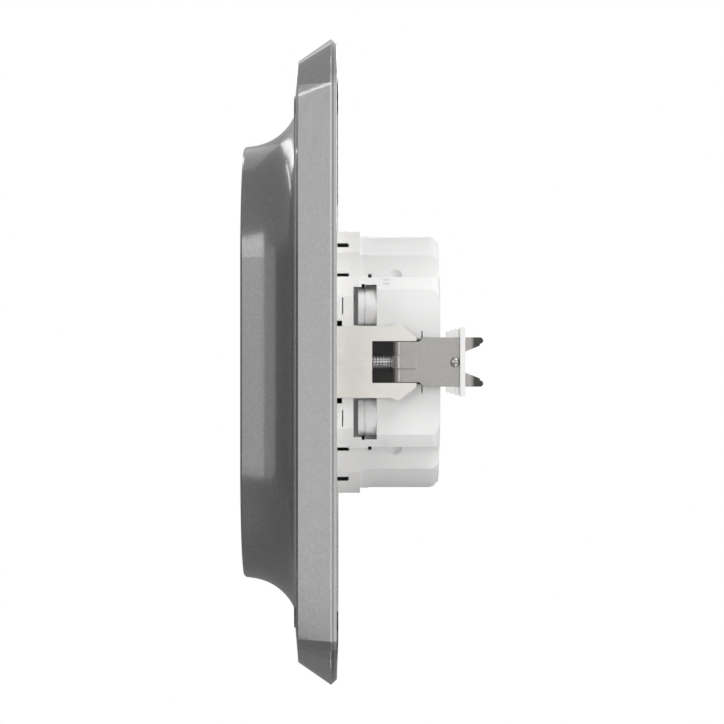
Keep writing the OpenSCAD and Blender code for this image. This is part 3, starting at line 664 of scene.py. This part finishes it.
class SOCKET_OT_finish_housing(bpy.types.Operator):
    """Gives the housing, the contact cover and the keepers their moulded plastic, with painted shade
    in the housing's openings
    """

    bl_idname = "socket.finish_housing"
    bl_label = "Housing"

    def execute(self, context):
        housing = white_moulding("housing plastic", finishes().housing_white, 0.42)
        # painted shade inside the channel behind the strap's windows
        shade_box(housing, *SHADED_HOUSING_WINDOWS, softness=0.1, shade=0.12)
        # painted shade inside the small openings, each with its twin at the mirrored z
        for depth, y_low, y_high, z_low, z_high in SHADED_HOLLOWS:
            for z in (z_low, -z_high):
                shade_box(housing, (-depth, y_low, z), (depth, y_high, z + z_high - z_low),
                          softness=0.1, shade=0.03)
        dress(housing, "base", "contact_cover")
        dress(white_moulding("keeper plastic", finishes().keeper_white, 0.38),
              "right_claw_keeper", "left_claw_keeper")
        return {"FINISHED"}


class SOCKET_OT_finish_plate(bpy.types.Operator):
    """Plates the support ring and its straps with zinc"""

    bl_idname = "socket.finish_plate"
    bl_label = "Support plate"

    def execute(self, context):
        dress(plate_zinc(), "support_plate")
        return {"FINISHED"}


class SOCKET_OT_finish_claws(bpy.types.Operator):
    """Gives the two claws their rolled spring steel, with painted shade on the tooth tips"""

    bl_idname = "socket.finish_claws"
    bl_label = "Claws"

    def execute(self, context):
        dress(claw_steel(), "right_claw", "left_claw")
        return {"FINISHED"}


class SOCKET_OT_finish_contacts(bpy.types.Operator):
    """Gives the contact strips their brass and the terminals their plating"""

    bl_idname = "socket.finish_contacts"
    bl_label = "Contacts"

    def execute(self, context):
        dress(contact_brass(), "live_strip", "neutral_strip", "earth_strip")
        dress(screw_steel(), "live_clamp", "neutral_clamp", "earth_clamp", "live_terminal_screw",
              "neutral_terminal_screw", "earth_terminal_screw", "cover_screws", "assembly_screws")
        return {"FINISHED"}


class SOCKET_OT_cut_threads(bpy.types.Operator):
    """Puts threaded claw screws in the place of the plain ones"""

    bl_idname = "socket.cut_threads"
    bl_label = "Claw screws"

    def execute(self, context):
        material = screw_steel()
        for side in ("right", "left"):
            node = side + "_claw_screw"
            low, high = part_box(node)
            piece = threaded_screw(side + "_threaded_screw", node, node, (low.x + high.x) / 2)
            piece.data.materials.append(material)
            for polygon in piece.data.polygons:
                polygon.use_smooth = True
        return {"FINISHED"}


# Stage

def area_light(name, place, target, size, power):
    """A soft rectangular lamp that points at a place."""
    lamp = bpy.data.lights.new(name, "AREA")
    lamp.shape = "RECTANGLE"
    lamp.size, lamp.size_y = size
    lamp.energy = power
    holder = bpy.data.objects.new(name, lamp)
    holder.location = place
    holder.rotation_euler = (Vector(target) - Vector(place)).to_track_quat("-Z", "Y").to_euler()
    bpy.context.scene.collection.objects.link(holder)
    return holder


def direction_to(azimuth, elevation):
    """A direction from the socket, in degrees: azimuth 0 is the camera's, and 90 faces the room."""
    turn, lift = math.radians(azimuth), math.radians(elevation)
    return Vector((math.cos(turn) * math.cos(lift), -math.sin(turn) * math.cos(lift),
                   math.sin(lift)))


def softbox(name, azimuth, elevation, distance, size, power):
    """A rectangular lamp in a direction from the socket's near side."""
    place = LIT_PLACE + distance * direction_to(azimuth, elevation)
    return area_light(name, place, LIT_PLACE, size, power)


def white_for_camera(tree, shader, white):
    """Shows plain white to camera and transmission rays, and a shader to all others."""
    path = add_node(tree, "ShaderNodeLightPath")
    seen = larger(tree, path.outputs["Is Camera Ray"], path.outputs["Is Transmission Ray"])
    mix = add_node(tree, "ShaderNodeMixShader")
    link(tree, seen, mix.inputs[0])
    link(tree, shader, mix.inputs[1])
    link(tree, white, mix.inputs[2])
    return mix.outputs[0]


def panel(name, azimuth, distance, corners, strength):
    """A flat glowing panel of any outline, upright and square to its direction."""
    axis = direction_to(azimuth, 0)
    across = Vector((-axis.y, axis.x, 0))
    middle = LIT_PLACE + distance * axis
    places = [middle + u * across + Vector((0, 0, v)) for u, v in corners]
    data = bpy.data.meshes.new(name)
    data.from_pydata([tuple(place) for place in places], [], [tuple(range(len(places)))])
    material = bpy.data.materials.new(name + " glow")
    material.use_nodes = True
    tree = material.node_tree
    tree.nodes.remove(tree.nodes["Principled BSDF"])
    glow = add_node(tree, "ShaderNodeEmission")
    glow.inputs["Strength"].default_value = strength
    white = add_node(tree, "ShaderNodeEmission")
    shown = white_for_camera(tree, glow.outputs[0], white.outputs[0])
    link(tree, shown, tree.nodes["Material Output"].inputs["Surface"])
    data.materials.append(material)
    holder = bpy.data.objects.new(name, data)
    bpy.context.scene.collection.objects.link(holder)
    holder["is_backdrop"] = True
    return holder


class SOCKET_OT_build_stage(bpy.types.Operator):
    """Sets the pale floor, the soft lamps and the camera"""

    bl_idname = "socket.build_stage"
    bl_label = "Stage"

    def execute(self, context):
        context.scene.view_settings.view_transform = "Standard"
        self.floor()
        self.world()
        self.lamps()
        self.camera()
        return {"FINISHED"}

    def floor(self):
        """A wide pale floor under the socket, far enough below to stay out of the picture."""
        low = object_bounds()[0]
        mesh = bmesh.new()
        bmesh.ops.create_grid(mesh, x_segments=1, y_segments=1, size=FLOOR_HALF_SIZE)
        data = bpy.data.meshes.new("floor")
        mesh.to_mesh(data)
        mesh.free()
        floor = bpy.data.objects.new("floor", data)
        floor.location = (0, 0, low[2] - FLOOR_DROP)
        bpy.context.scene.collection.objects.link(floor)
        material = bpy.data.materials.new("pale floor")
        material.use_nodes = True
        tree = material.node_tree
        principled = tree.nodes["Principled BSDF"]
        principled.inputs["Base Color"].default_value = (FLOOR_GREY, FLOOR_GREY, FLOOR_GREY, 1)
        principled.inputs["Roughness"].default_value = 0.9
        white = add_node(tree, "ShaderNodeEmission")
        shown = white_for_camera(tree, principled.outputs[0], white.outputs[0])
        link(tree, shown, tree.nodes["Material Output"].inputs["Surface"])
        data.materials.append(material)
        floor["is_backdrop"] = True

    def world(self):
        """Even light, split at the wall plane and on the room's side once more at the horizon."""
        world = bpy.data.worlds.new("studio")
        bpy.context.scene.world = world
        world.use_nodes = True
        tree = world.node_tree
        even = tree.nodes["Background"]
        even.inputs["Color"].default_value = (1, 1, 1, 1)
        direction = add_node(tree, "ShaderNodeSeparateXYZ")
        link(tree, add_node(tree, "ShaderNodeTexCoord").outputs["Generated"], direction.inputs[0])
        room = ramp(tree, direction.outputs["Z"], 0.05, 0.15, stage().lower_sky, stage().upper_sky)
        link(tree, ramp(tree, direction.outputs["Y"], -0.2, 0.2, room, stage().wall_sky),
             even.inputs["Strength"])
        white = add_node(tree, "ShaderNodeBackground")
        white.inputs["Color"].default_value = (1, 1, 1, 1)
        shown = white_for_camera(tree, even.outputs[0], white.outputs[0])
        link(tree, shown, tree.nodes["World Output"].inputs["Surface"])

    def lamps(self):
        for name, azimuth, elevation, distance, size, setting in SOFTBOXES:
            softbox(name, azimuth, elevation, distance, size, getattr(stage(), setting))
        panel("panel", PANEL_AZIMUTH, 1.0, PANEL_OUTLINE, stage().panel_strength)
        panel("trim", PANEL_AZIMUTH, 0.999, TRIM_OUTLINE, stage().trim_strength)

    def camera(self):
        """The photo's camera, level with the middle and square to the frame's nearer side."""
        high = Vector(CAD_BOUNDS[1])
        lens = bpy.data.cameras.new("camera")
        lens.sensor_fit = "HORIZONTAL"
        lens.lens = lens.sensor_width * stage().camera_distance / stage().picture_width
        lens.clip_start = NEAR_CLIP
        eye = Vector((high.x + stage().camera_distance, EYE_Y, 0))
        aim = Vector((high.x, AIM_Y, 0))
        holder = bpy.data.objects.new("camera", lens)
        holder.location = eye
        holder.rotation_euler = (aim - eye).to_track_quat("-Z", "Y").to_euler()
        bpy.context.scene.collection.objects.link(holder)
        bpy.context.scene.camera = holder


OPERATORS = (SOCKET_OT_build_stage, SOCKET_OT_finish_frame, SOCKET_OT_finish_cover,
             SOCKET_OT_finish_housing, SOCKET_OT_finish_plate, SOCKET_OT_finish_claws,
             SOCKET_OT_finish_contacts, SOCKET_OT_cut_threads)


class SOCKET_PT_panel(bpy.types.Panel):
    """Lists the socket's operators and settings"""

    bl_idname = "SOCKET_PT_panel"
    bl_label = "Double wall socket"
    bl_space_type = "VIEW_3D"
    bl_region_type = "UI"
    bl_category = "Socket"

    def draw(self, context):
        for settings in (context.scene.socket_finishes, context.scene.socket_sizes,
                         context.scene.socket_stage):
            for name in settings.__annotations__:
                self.layout.prop(settings, name)
        for operator in OPERATORS:
            self.layout.operator(operator.bl_idname)


CLASSES = (SocketFinishes, SocketSizes, SocketStage) + OPERATORS + (SOCKET_PT_panel,)


def register():
    for cls in CLASSES:
        bpy.utils.register_class(cls)
    bpy.types.Scene.socket_finishes = PointerProperty(type=SocketFinishes)
    bpy.types.Scene.socket_sizes = PointerProperty(type=SocketSizes)
    bpy.types.Scene.socket_stage = PointerProperty(type=SocketStage)


def unregister():
    del bpy.types.Scene.socket_stage
    del bpy.types.Scene.socket_sizes
    del bpy.types.Scene.socket_finishes
    for cls in reversed(CLASSES):
        bpy.utils.unregister_class(cls)


def main():
    register()
    bpy.ops.socket.build_stage()
    bpy.ops.socket.finish_frame()
    bpy.ops.socket.finish_cover()
    bpy.ops.socket.finish_housing()
    bpy.ops.socket.finish_plate()
    bpy.ops.socket.finish_claws()
    bpy.ops.socket.finish_contacts()
    bpy.ops.socket.cut_threads()


if __name__ == "__main__":
    main()
